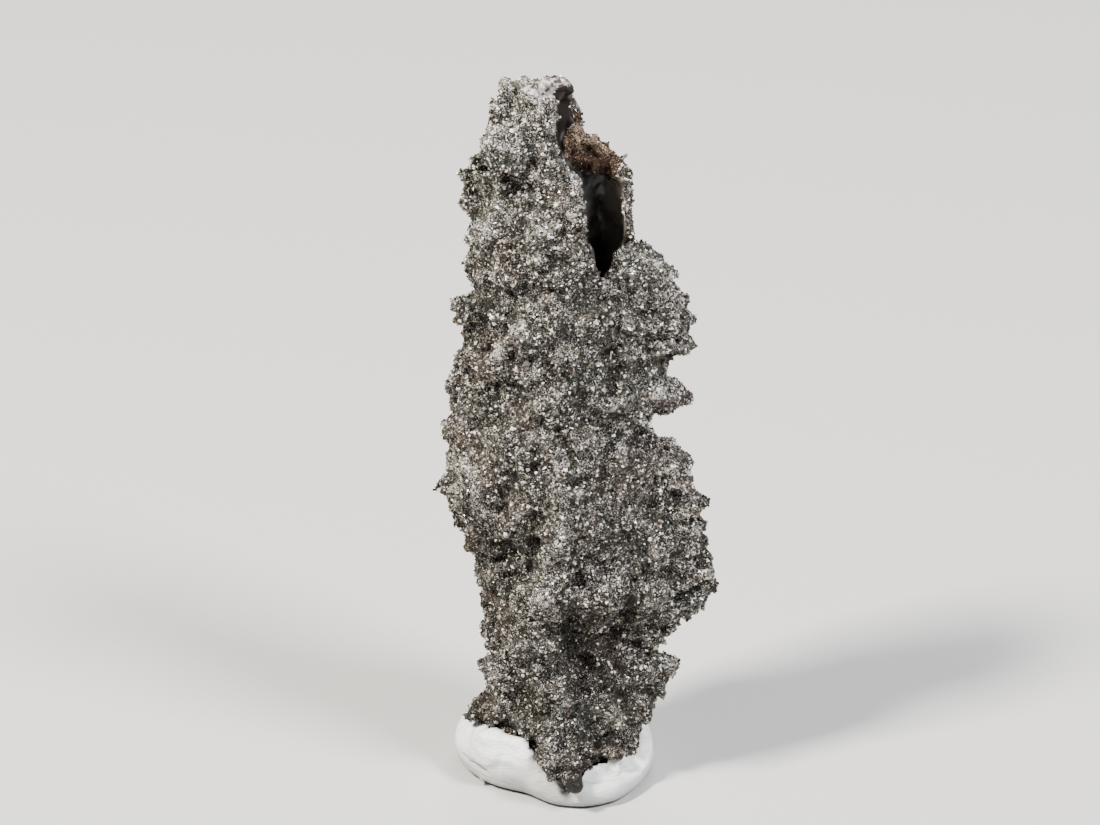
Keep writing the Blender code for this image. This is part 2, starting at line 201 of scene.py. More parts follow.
def refined_copy(source: Object, name: str, voxel: float, passes: int, rolls: Iterable[Zone] = ()) -> Object:
    """Makes an even, dense, softened copy of a solid.

    Args:
        source: the solid's object.
        name: the copy's name.
        voxel: the size of the new mesh's faces.
        passes: how many times the copy is softened.
        rolls: rounded rolls that are fused on.

    Returns:
        The copy, with its modifiers applied.
    """
    welded = bmesh.new()
    welded.from_mesh(source.data)
    bmesh.ops.remove_doubles(welded, verts=welded.verts, dist=WELD)
    for roll in rolls:
        start, end = Vector(roll.start) * MM, Vector(roll.end) * MM
        count = max(2, math.ceil((end - start).length / (BALL_SPACING * roll.radius * MM)))
        for i in range(count + 1):
            place = Matrix.Translation(start.lerp(end, i / count))
            bmesh.ops.create_icosphere(welded, subdivisions=2, radius=roll.radius * MM, matrix=place)
    mesh = bpy.data.meshes.new(name)
    welded.to_mesh(mesh)
    welded.free()
    mesh.materials.clear()
    made = add_object(name, mesh)
    skin = made.modifiers.new("skin", "REMESH")
    skin.mode = "VOXEL"
    skin.voxel_size = voxel
    soften = made.modifiers.new("soften", "SMOOTH")
    soften.factor = 0.5
    soften.iterations = passes
    bpy.context.view_layer.update()
    dense = bpy.data.meshes.new_from_object(made.evaluated_get(bpy.context.evaluated_depsgraph_get()))
    made.modifiers.clear()
    made.data = dense
    dense.name = name
    for face in dense.polygons:
        face.use_smooth = True
    return made


# ---------------------------------------------------------------- finishes


class Recipe:
    """A node material in the making, with one method for each step that several finishes share."""

    def __init__(self, name: str) -> None:
        """Starts a material with no nodes in it yet.

        Args:
            name: the material's name.
        """
        self.made = bpy.data.materials.new(name)
        self.made.use_nodes = True
        self.tree = self.made.node_tree
        self.tree.nodes.clear()

    def place(self) -> Socket:
        """Gives the place on the object, in metres."""
        return add_node(self.tree, "ShaderNodeTexCoord").outputs["Object"]

    def axis(self, place: Socket, name: str) -> Socket:
        """Gives one coordinate of a place."""
        return add_node(self.tree, "ShaderNodeSeparateXYZ", {"Vector": place}).outputs[name]

    def noise(
        self, place: Socket, size_mm: float, detail: float, distortion: float = 0.0, roughness: float = 0.5
    ) -> Socket:
        """Adds cloudy noise, with clouds of about size_mm."""
        inputs = {"Vector": place, "Scale": 1 / (size_mm * MM), "Detail": detail, "Distortion": distortion}
        return add_node(self.tree, "ShaderNodeTexNoise", {**inputs, "Roughness": roughness}).outputs[0]

    def scaled(self, value: Socket, factor: float, plus: Any) -> Socket:
        """Multiplies a value by a factor and adds another value."""
        inputs = {0: value, 1: factor, 2: plus}
        return add_node(self.tree, "ShaderNodeMath", inputs, operation="MULTIPLY_ADD").outputs[0]

    def span(self, value: Socket, low: float, high: float, first: float = 0.0, last: float = 1.0) -> Socket:
        """Maps the values from low to high onto those from first to last, and holds any beyond."""
        inputs = {"Value": value, "From Min": low, "From Max": high, "To Min": first, "To Max": last}
        return add_node(self.tree, "ShaderNodeMapRange", inputs).outputs[0]

    def ramp(self, value: Socket, stops: tuple[tuple[float, str], ...]) -> Socket:
        """Turns a value into a colour.

        Args:
            value: the value, from 0 to 1.
            stops: the place and the hex colour of each stop, from the lowest up.

        Returns:
            The colour.
        """
        ramp = add_node(self.tree, "ShaderNodeValToRGB", {"Fac": value})
        elements = ramp.color_ramp.elements
        while len(elements) < len(stops):
            elements.new(0.5)
        for element, (place, code) in zip(elements, stops):
            element.position = place
            element.color = linear(code)
        return ramp.outputs["Color"]

    def blend(self, share: Socket, ground: Socket, code: str) -> Socket:
        """Lays a plain colour over another colour, by its share."""
        inputs = {0: share, 6: ground, 7: linear(code)}
        return add_node(self.tree, "ShaderNodeMix", inputs, data_type="RGBA").outputs[2]

    def bump(self, height: Socket, strength: float, depth_mm: float, under: Socket | None = None) -> Socket:
        """Turns heights into relief, on top of the relief under them."""
        inputs = {"Height": height, "Strength": strength, "Distance": depth_mm * MM, "Normal": under}
        return add_node(self.tree, "ShaderNodeBump", inputs).outputs["Normal"]

    def finish(self, colour: Any, roughness: Any, ior: Any = None, relief: Any = None) -> Material:
        """Ends the material with its surface.

        Args:
            colour: the colour, as values or a socket.
            roughness: the roughness, as a value or a socket.
            ior: the index of refraction, if it isn't the node's own.
            relief: the relief's socket, if there is any.

        Returns:
            The finished material.
        """
        inputs = {"Base Color": colour, "Roughness": roughness, "IOR": ior, "Normal": relief}
        shader = add_node(self.tree, "ShaderNodeBsdfPrincipled", inputs)
        output = add_node(self.tree, "ShaderNodeOutputMaterial", {"Surface": shader.outputs[0]})
        output.is_active_output = True
        return self.made


@dataclass(frozen=True)
class FusedSandCrust:
    """Quartz sand half melted by lightning and frozen as it fell against the melt.

    It is dull and rough: bright flakes of cracked quartz in a dark glassy ground, thicker where its map of
    tones is paler, on the tops of the knobs and in painted light, and sparser in the hollows and in painted
    shade.
    """

    name: str = "fused_sand_crust"
    # The colours from the glassy ground to the brightest flakes, and where the noise reaches each.
    flecks: tuple[str, ...] = ("#1C1917", "#3D3A35", "#69645D", "#C6C1B6", "#FFFCF6")
    cuts: tuple[float, ...] = (0.45, 0.5, 0.55, 0.59, 0.62)
    # Cracked flakes are nearer 0.1 mm across, and they are drawn coarser so that they show.
    flake_mm: float = 0.2
    flake_depth: float = 1.2
    cluster_mm: float = 1.2
    # How much clusters and the tone shift the noise; the tone brings painted light and painted shade into the
    # flakes.
    crowding: float = 0.3
    tone_shift: float = 0.065
    # Patches of iron stain and of olive: where their noise starts and ends, and how strong they are.
    patch_mm: float = 5.0
    warm: str = "#6B584A"
    warm_span: Span = (0.5, 0.7)
    warm_share: float = 0.45
    olive: str = "#5E6052"
    olive_span: Span = (0.5, 0.3)
    olive_share: float = 0.4
    roughness: float = 0.62
    ior: float = 1.5

    def material(self) -> Material:
        """Builds the node material.

        Returns:
            The crust's material.
        """
        recipe = Recipe(self.name)
        place = recipe.place()
        # The map of tones, with its painted light and painted shade.
        tone = add_node(recipe.tree, "ShaderNodeAttribute", attribute_name=TONE).outputs["Fac"]
        flakes = recipe.noise(place, self.flake_mm, 2.0, distortion=2.0, roughness=0.6)
        clusters = recipe.noise(place, self.cluster_mm, 2.0)
        patches = recipe.noise(place, self.patch_mm, 3.0)
        crowded = recipe.scaled(clusters, self.crowding, -self.crowding / 2)
        amount = recipe.scaled(flakes, 1.0, recipe.scaled(tone, self.tone_shift, crowded))
        flecked = recipe.ramp(amount, tuple(zip(self.cuts, self.flecks)))
        warmed = recipe.span(patches, *self.warm_span, 0.0, self.warm_share)
        greened = recipe.span(patches, *self.olive_span, 0.0, self.olive_share)
        colour = recipe.blend(greened, recipe.blend(warmed, flecked, self.warm), self.olive)
        relief = recipe.bump(flakes, 1.0, self.flake_depth * self.flake_mm)
        return recipe.finish(colour, self.roughness, self.ior, relief)


# The coarse brown sand of the broken wall, stained by iron.
BROWN_CRUST = FusedSandCrust(
    name="brown_sand_crust", flecks=("#3A2C21", "#5A4635", "#7A624F", "#A68D75", "#D0BBA3"),
    warm="#685140", olive="#58463A",
)

# The same sand melted smooth and blackened by soot, at the very end of the tail.
SOOTY_CRUST = FusedSandCrust(
    name="sooty_sand_crust", flecks=("#1D1B19", "#2E2C29", "#45423D", "#625F59", "#8B8881"),
    warm="#3B322B", olive="#34352E", roughness=0.4,
)


@dataclass(frozen=True)
class BoreGlass:
    """Silica glass that lined the lightning's path, chilled smooth with small burst bubbles.

    It is glossy and blue-black in the depth of the bore, stained brown by iron near the mouth, and painted
    pale where the mouth's right wall is thinner, as a painted glow for light that comes through it.
    """

    deep: str = "#242427"
    smoky: str = "#6C6966"
    streak_mm: float = 2.2
    # The brown stain comes in between these heights.
    brown: str = "#231A14"
    stain_from_mm: float = 53.0
    stain_to_mm: float = 55.5
    # Painted glow: the glass is drawn paler out to the right, between these distances from the middle, where
    # the wall lets light through.
    painted_glow: str = "#7C746D"
    painted_glow_from_mm: float = 3.4
    painted_glow_to_mm: float = 4.9
    bubble_mm: float = 0.6
    bubble_depth_mm: float = 0.12
    roughness: float = 0.28
    stained_roughness: float = 0.55
    ior: float = 1.46

    def material(self) -> Material:
        """Builds the node material.

        Returns:
            The lining's material.
        """
        recipe = Recipe("bore_silica_glass")
        place = recipe.place()
        streaks = recipe.noise(place, self.streak_mm, 4.0, distortion=0.6)
        body = recipe.ramp(streaks, ((0.35, self.deep), (0.68, self.smoky)))
        upward = recipe.span(recipe.axis(place, "Z"), self.stain_from_mm * MM, self.stain_to_mm * MM)
        stained = recipe.blend(upward, body, self.brown)
        sideways = recipe.span(recipe.axis(place, "X"), self.painted_glow_from_mm * MM, self.painted_glow_to_mm * MM)
        # Painted light: the pale glow of light through the wall.
        lit = recipe.blend(sideways, stained, self.painted_glow)
        dulled = recipe.span(upward, 0.0, 1.0, self.roughness, self.stained_roughness)
        bubbles = add_node(
            recipe.tree, "ShaderNodeTexVoronoi", {"Vector": place, "Scale": 1 / (self.bubble_mm * MM)},
            feature="SMOOTH_F1",
        )
        relief = recipe.bump(bubbles.outputs["Distance"], 0.6, self.bubble_depth_mm)
        return recipe.finish(lit, dulled, self.ior, relief)


@dataclass(frozen=True)
class LipGlass:
    """The same silica glass where it flowed over the rim, milky with fine bubbles.

    It is a pale lavender grey with a wet gloss, and greyer where sand dust has baked on.
    """

    pale: str = "#CFC9CB"
    milky: str = "#98918F"
    dusty: str = "#4C4743"
    mottle_mm: float = 0.45
    mottle_depth_mm: float = 0.2
    roughness: float = 0.24
    ior: float = 1.46

    def material(self) -> Material:
        """Builds the node material.

        Returns:
            The lip's material.
        """
        recipe = Recipe("lip_milky_glass")
        mottle = recipe.noise(recipe.place(), self.mottle_mm, 5.0)
        colour = recipe.ramp(mottle, ((0.4, self.dusty), (0.5, self.milky), (0.62, self.pale)))
        return recipe.finish(colour, self.roughness, self.ior, recipe.bump(mottle, 0.9, self.mottle_depth_mm))


class Skin(Enum):
    """What a stretch of the sheath is: its finish, the relief that it loses and the grains that it lacks."""

    CRUST = (FusedSandCrust(), 0.0, 0.0)
    GLASS = (BoreGlass(), 0.6, 1.0)
    LIP = (LipGlass(), 0.85, 0.88)
    LEDGE = (BROWN_CRUST, 0.0, 0.8)
    NUB = (SOOTY_CRUST, 0.7, 1.0)

    def __init__(self, finish: Any, calm: float, bare: float) -> None:
        """Names the three parts of the member's value."""
        self.finish, self.calm, self.bare = finish, calm, bare


class Mineral(Enum):
    """What a sand grain is: its colour, its roughness and its index of refraction."""

    CLEAR_QUARTZ = ("#878277", 0.18, 1.54)
    GREY_QUARTZ = ("#5F5B55", 0.28, 1.54)
    MILKY_QUARTZ = ("#D8D3C9", 0.32, 1.54)
    FROSTED_QUARTZ = ("#F8F5EE", 0.45, 1.54)
    FELDSPAR = ("#B5AB9C", 0.45, 1.53)
    STAINED_QUARTZ = ("#766A60", 0.35, 1.54)
    HONEY_QUARTZ = ("#BFA993", 0.4, 1.54)
    AMBER_QUARTZ = ("#6B4F39", 0.35, 1.54)
    GREEN_GLASS = ("#5B6157", 0.15, 1.5)
    SMOKY_GLASS = ("#3B3834", 0.18, 1.48)
    IRON_SAND = ("#211E1B", 0.4, 2.2)

    def material(self) -> Material:
        """Builds the mineral's material. One grain is one crystal, so its colour is even all over."""
        code, roughness, ior = self.value
        return Recipe("sand_" + self.name.lower()).finish(linear(code), roughness, ior)


class Sand(Enum):
    """A kind of sand: the share of each mineral in it, in the order of the Mineral enum."""

    DESERT = (0.13, 0.17, 0.14, 0.12, 0.06, 0.05, 0.0, 0.0, 0.07, 0.16, 0.1)
    DUSKY = (0.12, 0.27, 0.06, 0.01, 0.03, 0.08, 0.0, 0.0, 0.08, 0.22, 0.13)
    RUSTY = (0.1, 0.16, 0.1, 0.05, 0.16, 0.29, 0.0, 0.0, 0.02, 0.08, 0.04)
    BROWN = (0.04, 0.06, 0.01, 0.01, 0.05, 0.22, 0.1, 0.38, 0.0, 0.1, 0.03)
    HONEY = (0.06, 0.04, 0.2, 0.2, 0.2, 0.06, 0.18, 0.06, 0.0, 0.0, 0.0)
    PALE = (0.14, 0.09, 0.27, 0.21, 0.1, 0.02, 0.0, 0.0, 0.04, 0.09, 0.04)


@dataclass(frozen=True)
class MountingPutty:
    """White reusable mounting putty, a chalk-filled rubber kneaded and pressed down by hand.

    It is a soft satin white with finger smears, and greyer towards its base with painted shade.
    """

    white: str = "#F4F5F3"
    dusty: str = "#DADCDA"
    smear_mm: float = 3.0
    # The painted shade is darkest at the lower of these heights and gone at the upper one.
    painted_shade: str = "#939594"
    painted_shade_span_mm: Span = (0.2, 2.8)
    painted_shade_share: float = 0.9
    dimple_mm: float = 0.6
    dimple_depth_mm: float = 0.08
    # Wrinkles lie level round the pad, this many times wider than they are high.
    wrinkle_mm: float = 1.4
    wrinkle_depth_mm: float = 0.25
    wrinkle_stretch: float = 4.0
    smooth_roughness: float = 0.38
    dull_roughness: float = 0.58
    ior: float = 1.5

    def material(self) -> Material:
        """Builds the node material.

        Returns:
            The putty's material.
        """
        recipe = Recipe("mounting_putty")
        place = recipe.place()
        smears = recipe.noise(place, self.smear_mm, 5.0, distortion=1.2)
        clean = recipe.ramp(smears, ((0.3, self.dusty), (0.55, self.white)))
        low, high = (edge * MM for edge in self.painted_shade_span_mm)
        # Painted shade: grey towards the base.
        shaded = recipe.blend(
            recipe.span(recipe.axis(place, "Z"), low, high, self.painted_shade_share, 0.0), clean, self.painted_shade
        )
        rough = recipe.span(smears, 0.0, 1.0, self.smooth_roughness, self.dull_roughness)
        dimples = recipe.bump(recipe.noise(place, self.dimple_mm, 2.0), 0.35, self.dimple_depth_mm)
        flattened = add_node(
            recipe.tree, "ShaderNodeMapping", {"Vector": place, "Scale": (1.0, 1.0, self.wrinkle_stretch)}
        )
        wrinkles = recipe.noise(flattened.outputs[0], self.wrinkle_mm, 4.0, distortion=0.8)
        relief = recipe.bump(wrinkles, 0.6, self.wrinkle_depth_mm, dimples)
        return recipe.finish(shaded, rough, self.ior, relief)


@dataclass(frozen=True)
class StudioPaper:
    """Matt background paper, pale and even."""

    tone: str = "#C9C8C6"
    roughness: float = 0.9

    def material(self) -> Material:
        """Builds the floor's node material."""
        return Recipe("studio_paper").finish(linear(self.tone), self.roughness)


# ---------------------------------------------------------------- the fulgurite


# The larger lumps and hollows on the front, from the crown down. Each row has the x and height of the two
# ends and the radius in tenths of a millimetre, the rise in hundredths, and ten times the tone.
# The tones are mostly painted light on the lumps and painted shade in the hollows and creases.
FRONT_FORMS = tuple(
    Form((x / 10, z / 10), (end_x / 10, end_z / 10), radius / 10, rise / 100, tone / 10)
    for x, z, end_x, end_z, radius, rise, tone in (
        (-41, 610, -38, 605, 7, 30, 8), (-25, 611, -22, 608, 7, 30, 3), (-4, 598, -1, 594, 8, 35, 5),
        (-13, 594, -8, 583, 9, 20, 6), (-51, 582, -45, 577, 6, -30, -2),
        # The shadow line under the lip: a groove with painted shadow in it.
        (-17, 600, 0, 599, 3, -35, -8),
        # The boss below the crown, and the crease under it with painted shade.
        (-47, 569, -39, 564, 17, 35, 3), (-49, 582, -30, 581, 5, -15, -3), (-14, 560, -19, 545, 8, -10, -3),
        (-75, 532, -72, 528, 7, 30, 5), (-69, 523, -66, 513, 7, 15, 8), (-64, 482, -59, 478, 7, 10, 6),
        (-57, 536, -44, 530, 7, 20, 0), (-34, 531, -19, 539, 7, 10, -6), (-12, 524, -6, 516, 8, -10, -4),
        # The edge of the near wall beside the mouth, drawn pale, with painted shade where it turns in lower
        # down.
        (0, 573, 8, 550, 6, 10, 7), (8, 550, 20, 525, 7, 15, 8), (18, 521, 20, 508, 6, 10, 7),
        (19, 499, 19, 475, 6, -15, -9),
        # Beside and below the mouth.
        (-59, 487, -46, 493, 11, 35, 4), (-41, 467, -36, 462, 9, 25, 3), (-14, 492, -10, 489, 13, 35, 4),
        (14, 502, 16, 496, 10, 35, 3), (-20, 460, -16, 456, 10, 30, 1), (-62, 431, -45, 413, 9, -30, -6),
        (-34, 435, -7, 433, 8, -25, -8), (55, 480, 54, 447, 9, 10, 9), (32, 460, 38, 452, 6, 10, 6),
        (32, 422, 39, 416, 10, 10, -2), (74, 463, 104, 427, 10, 20, 7),
        # The slanting ridge on the left and the furrow beside it.
        (-28, 403, -46, 375, 6, 80, 10), (-23, 396, -22, 392, 6, 40, 1), (-32, 379, 3, 376, 7, -10, -4),
        (5, 404, 9, 395, 7, -30, -5), (-52, 347, -36, 360, 7, -10, -1),
        # The knobs of the right wing and the gaps between them.
        (77, 429, 88, 425, 11, 40, 8), (16, 396, 62, 394, 10, -10, -3), (69, 385, 83, 390, 10, 25, 8),
        (64, 375, 74, 372, 9, 20, 5), (90, 402, 100, 400, 7, 70, -2), (74, 399, 84, 396, 7, 20, 6),
        (87, 390, 98, 386, 6, 40, 4), (45, 363, 66, 371, 6, -30, -6), (78, 346, 91, 349, 10, 45, 3),
        # The middle: two knobs, a pit dark with painted shade, and the keel that runs down from it.
        (-10, 357, -5, 352, 10, 35, 5), (-20, 342, -14, 338, 8, -10, -4), (15, 358, 21, 332, 9, -20, -5),
        (-25, 320, -18, 315, 8, 20, 4), (34, 339, 39, 335, 10, 30, 1), (2, 311, 4, 303, 6, -110, -10),
        (-43, 306, -35, 299, 8, -20, -4), (61, 329, 69, 322, 8, 25, 4), (15, 303, 16, 300, 5, 40, 6),
        (-1, 292, 4, 256, 6, 40, 2), (-14, 276, -6, 277, 7, -25, -5), (19, 267, 35, 258, 8, -20, -4),
        (1, 232, 3, 204, 8, 50, 1), (-7, 192, -9, 162, 11, 45, 3), (-56, 289, -49, 282, 8, -15, -4),
        (-36, 272, -29, 254, 8, -15, -5), (-46, 254, -34, 239, 9, -20, -5), (50, 297, 59, 289, 10, 5, -3),
        (24, 264, 50, 271, 8, -25, -7), (26, 242, 29, 238, 6, 35, 5), (36, 237, 45, 229, 9, -20, -4),
        (-10, 212, -6, 203, 8, -15, -4), (21, 204, 53, 217, 11, -35, -6), (17, 179, 18, 171, 5, -30, -6),
        # The left wing, and the undercut below it with painted shade.
        (-86, 280, -68, 276, 10, 40, 10), (-75, 258, -72, 247, 9, 40, 10), (-75, 226, -64, 206, 9, -10, -8),
        (-85, 338, -82, 334, 7, 0, -5), (-58, 213, -21, 214, 12, -15, -6), (-48, 192, -27, 174, 15, 10, -5),
        (-39, 195, -32, 192, 8, -10, -10), (-91, 258, -88, 253, 5, 0, -9), (-66, 204, -59, 196, 8, -10, -7),
        (-61, 171, -59, 159, 9, 0, -10),
        # The lower right wing.
        (89, 283, 106, 267, 9, 30, 3), (81, 273, 85, 269, 8, 35, 2), (103, 259, 108, 253, 8, 30, 6),
        (106, 226, 109, 223, 9, 40, 0), (115, 234, 117, 230, 6, 0, -8), (104, 194, 121, 179, 10, 40, 0),
        (75, 184, 90, 182, 7, -30, -4),
        # The foot: knobs on the left, the forked recess with painted shade, and the tail.
        (-14, 156, -11, 153, 10, 45, 5), (-32, 147, -28, 142, 10, 40, -1), (-3, 161, 2, 152, 8, 15, 4),
        (-26, 133, -4, 134, 9, 30, 5), (-34, 119, -31, 113, 10, 30, 2), (-9, 110, -7, 105, 10, 30, 1),
        (-49, 94, -46, 89, 12, 45, 7), (-21, 96, -16, 86, 8, 20, 5), (6, 151, 17, 127, 10, -35, -5),
        (7, 114, 29, 85, 10, -20, -5), (29, 119, 60, 136, 9, -25, -5), (36, 116, 45, 106, 9, -15, -6),
        (57, 138, 59, 156, 6, -50, -7), (3, 66, 8, 61, 8, 35, 2), (-10, 24, -2, 10, 9, 10, 6),
        (56, 74, 63, 67, 8, 20, 4), (54, 36, 60, 29, 8, 15, 9), (19, 14, 23, 6, 5, -10, -9),
        (28, 62, 34, 12, 8, -15, -4), (74, 110, 96, 98, 9, 30, 6), (72, 87, 86, 85, 7, 0, -4),
        (-59, 56, -42, 55, 8, 30, 1), (-59, 41, -41, 39, 6, -20, -8), (4, -6, 20, -5, 4, -30, -4),
    )
)
# The tongue of crust that hangs over the putty and the bare nub at its end.
TAIL = (
    Zone((-0.8, -6.0, 4.7), (-0.2, -6.6, 3.6), 0.95),
    Zone((0.8, -6.4, 4.2), (1.1, -6.9, 3.3), 0.95),
)
NUB = Zone((1.5, -7.1, 2.85), (1.55, -7.35, 2.6), 0.78)
# Knobs past the solid's outline, and the crust that closes the mouth's right and lower edge.
OUTER_KNOBS = (
    Zone((-7.2, -0.5, 41.3), (-7.6, -0.5, 41.2), 0.6),
    Zone((11.7, -0.3, 20.1), (12.3, -0.4, 19.8), 0.65),
    Zone((8.6, -0.3, 33.2), (8.9, -0.3, 33.1), 0.5),
    Zone((10.4, 0.0, 40.9), (10.7, 0.0, 40.8), 0.5),
    Zone((8.6, -0.5, 9.3), (9.0, -0.5, 9.2), 0.55),
    Zone((5.9, -0.8, 48.0), (6.2, -0.8, 47.5), 0.45),
    Zone((7.9, -0.5, 7.5), (8.3, -0.5, 7.3), 0.6),
    Zone((-6.6, -1.2, 5.4), (-7.0, -1.4, 5.5), 0.55),
    Zone((10.0, 0.0, 39.3), (10.3, 0.0, 39.2), 0.45),
    Zone((11.0, -0.3, 23.4), (11.3, -0.3, 23.3), 0.5),
    Zone((-5.6, -0.5, 16.2), (-5.8, -0.5, 15.5), 0.5),
    Zone((5.5, -1.6, 50.3), (5.8, -1.9, 49.2), 0.45),
    *run(((5.0, -2.5, 47.9), (4.6, -2.6, 46.8), (4.2, -2.7, 45.8)), (0.5, 0.5)),
    Zone((-5.9, -0.5, 55.1), (-6.2, -0.5, 55.0), 0.5),
    Zone((-6.9, -0.5, 52.2), (-7.1, -0.5, 52.1), 0.5),
    # The bridge of glass between the lip and the far wall.
    Zone((0.65, 0.5, 60.0), (0.75, 2.3, 59.1), 0.5),
    # The webs of crust between the knobs of the right wing and in the undercut of the left wing.
    Zone((7.0, -1.3, 40.4), (8.2, -1.0, 40.2), 0.75),
    Zone((-4.3, -0.9, 19.4), (-2.6, -2.0, 20.2), 0.8),
    # The level under edge of the foot on the right.
    Zone((2.6, -4.3, 3.8), (5.2, -3.8, 3.6), 0.5),
)
# Where the outline is cut back, by this many millimetres.
TRIMMED = (
    (Zone((1.9, 1.8, 58.4), (2.4, 1.8, 56.9), 0.8), -0.8),
    (Zone((1.9, 3.0, 58.0), (2.3, 2.8, 56.4), 0.9), -0.25),
    (Zone((-8.8, -0.2, 38.0), (-9.4, -0.2, 35.4), 0.9), -0.8),
    (Zone((-4.2, -2.2, 4.5), (-2.8, -2.7, 4.2), 1.0), -0.4),
    (Zone((6.5, -2.9, 3.4), (6.9, -2.0, 3.7), 0.8), -0.5),
    (Zone((6.1, 0.3, 53.8), (6.2, -0.2, 51.6), 0.7), -0.5),
)
# Where the crust is drawn darker: soot on the nub at the tail's end, and painted shade in the slot and the
# mouth, in the recess, and low on the left of the foot by the putty.
SOOT_AND_SHADE = (
    Zone((1.2, -6.9, 3.0), (1.2, -7.4, 2.4), 1.5),
    Zone((1.5, 1.9, 58.9), (1.8, 1.9, 57.2), 1.0),
    Zone((5.4, 0.4, 53.4), (5.3, -2.2, 49.0), 1.0),
    Zone((1.2, 1.1, 54.4), (4.0, 1.1, 53.3), 1.3),
    Zone((1.4, -4.0, 15.0), (2.4, -4.0, 10.5), 2.0),
    Zone((-6.6, -3.0, 5.6), (-4.2, -4.5, 5.2), 1.0),
)


@dataclass
class Bore:
    """The hollow down the tube, and the zones round its broken mouth."""

    # A height, the x and y of the middle, and the half width and half depth, in millimetres.
    stations: tuple[tuple[float, ...], ...] = (
        (20.0, 1.4, 0.2, 0.4, 0.5),
        (26.0, 1.6, 0.2, 1.2, 1.4),
        (38.0, 2.4, 0.0, 1.5, 1.7),
        (46.0, 3.5, -0.1, 1.6, 1.8),
        (50.0, 3.6, -0.2, 1.6, 2.0),
        (52.4, 3.4, -0.4, 1.6, 2.0),
        (53.8, 2.3, -0.5, 1.5, 1.7),
        (55.2, 1.0, -0.2, 1.1, 1.6),
        (57.5, 0.6, 0.1, 0.7, 1.5),
        (59.4, 0.55, 0.0, 0.5, 1.0),
        (60.5, 0.5, 0.0, 0.25, 0.45),
    )
    # The lining ends between these multiples of the bore's size, and where it turns away from the middle.
    reach: Span = (1.25, 1.6)
    facing: Span = (-0.2, 0.3)
    # The rolls of glass at the top of the mouth, and the burst bubbles down its right side.
    lip: tuple[Zone, ...] = run(
        ((-1.7, -1.0, 61.0), (-1.0, -1.1, 61.4), (0.2, -0.9, 61.35), (0.75, -0.6, 61.1), (1.15, -0.1, 60.4)),
        (0.42, 0.5, 0.42, 0.3),
    )
    bubbles: tuple[Zone, ...] = (
        Zone((4.2, 1.3, 54.4), (4.6, 1.1, 54.1), 0.42),
        Zone((4.9, 0.8, 53.7), (5.2, 0.6, 53.3), 0.45),
        Zone((5.4, 0.1, 52.6), (5.5, -0.1, 52.3), 0.4),
        Zone((5.3, -0.8, 51.2), (5.3, -1.1, 50.8), 0.38),
    )
    # The narrow slot under the lip, where the bore shows as a dark gap.
    throat: tuple[Zone, ...] = (
        Zone((0.5, -0.9, 60.6), (1.2, 0.5, 59.9), 0.85),
        Zone((0.65, 0.3, 60.05), (0.85, 2.0, 59.2), 0.7),
        *run(
            ((0.6, 0.6, 60.3), (0.6, 1.2, 59.4), (0.45, 1.4, 57.9), (0.2, 1.2, 56.6), (0.1, 0.6, 55.0)),
            (0.8, 0.95, 0.7, 0.5),
        ),
    )
    # Brown knobs on the far wall's edge.
    rusty: tuple[Zone, ...] = (Zone((1.5, 1.9, 58.6), (1.7, 1.9, 57.0), 1.1),)
    # The broken thickness of the far wall: coarse brown sand, honey pale along its top with painted light.
    shelf: tuple[Zone, ...] = (
        *run(((0.9, 1.3, 55.6), (2.3, 1.4, 55.7), (3.3, 1.4, 55.0), (4.1, 1.2, 53.9)), (0.75, 0.75, 0.7)),
        Zone((1.6, 1.2, 54.5), (3.0, 1.1, 53.9), 0.6),
    )
    ledge: tuple[Zone, ...] = (
        *run(((0.8, 1.4, 55.6), (2.4, 1.5, 55.5), (3.5, 1.4, 54.8), (4.3, 1.2, 53.6)), (1.4, 1.45, 1.2)),
        *run(((1.3, 1.2, 54.9), (3.0, 1.1, 53.9), (4.1, 1.1, 53.2)), (1.1, 1.0)),
    )
    # Painted light on the ledge's top: paler crust, and honey sand where it faces up.
    ledge_top_light: tuple[Zone, ...] = run(((1.3, 1.1, 56.5), (2.5, 1.2, 56.5), (3.7, 1.2, 55.6)), (0.9, 0.9))
    rim: tuple[Zone, ...] = run(
        ((4.3, 1.2, 54.3), (5.5, 0.4, 53.2), (5.4, -0.8, 51.4), (5.3, -2.4, 48.6)), (1.1, 0.9, 0.9)
    )

    def lining(self, points: Array, normals: Array) -> Array:
        """Finds the inside wall of the bore.

        Args:
            points: places in metres.
            normals: the surface's directions there.

        Returns:
            1 on the bore's wall and 0 on the outside, with a soft edge between.
        """
        table = np.array(self.stations) * MM
        height = points[:, 2]
        x, y, half_width, half_depth = (np.interp(height, table[:, 0], table[:, k]) for k in range(1, 5))
        across, deep = points[:, 0] - x, points[:, 1] - y
        away = np.hypot(across / half_width, deep / half_depth)
        inward = -(normals[:, 0] * across + normals[:, 1] * deep) / np.maximum(np.hypot(across, deep), 1e-9)
        inside = (height > table[0, 0]) & (height < table[-1, 0])
        return (1.0 - smooth_step(*self.reach, away)) * smooth_step(*self.facing, inward) * inside


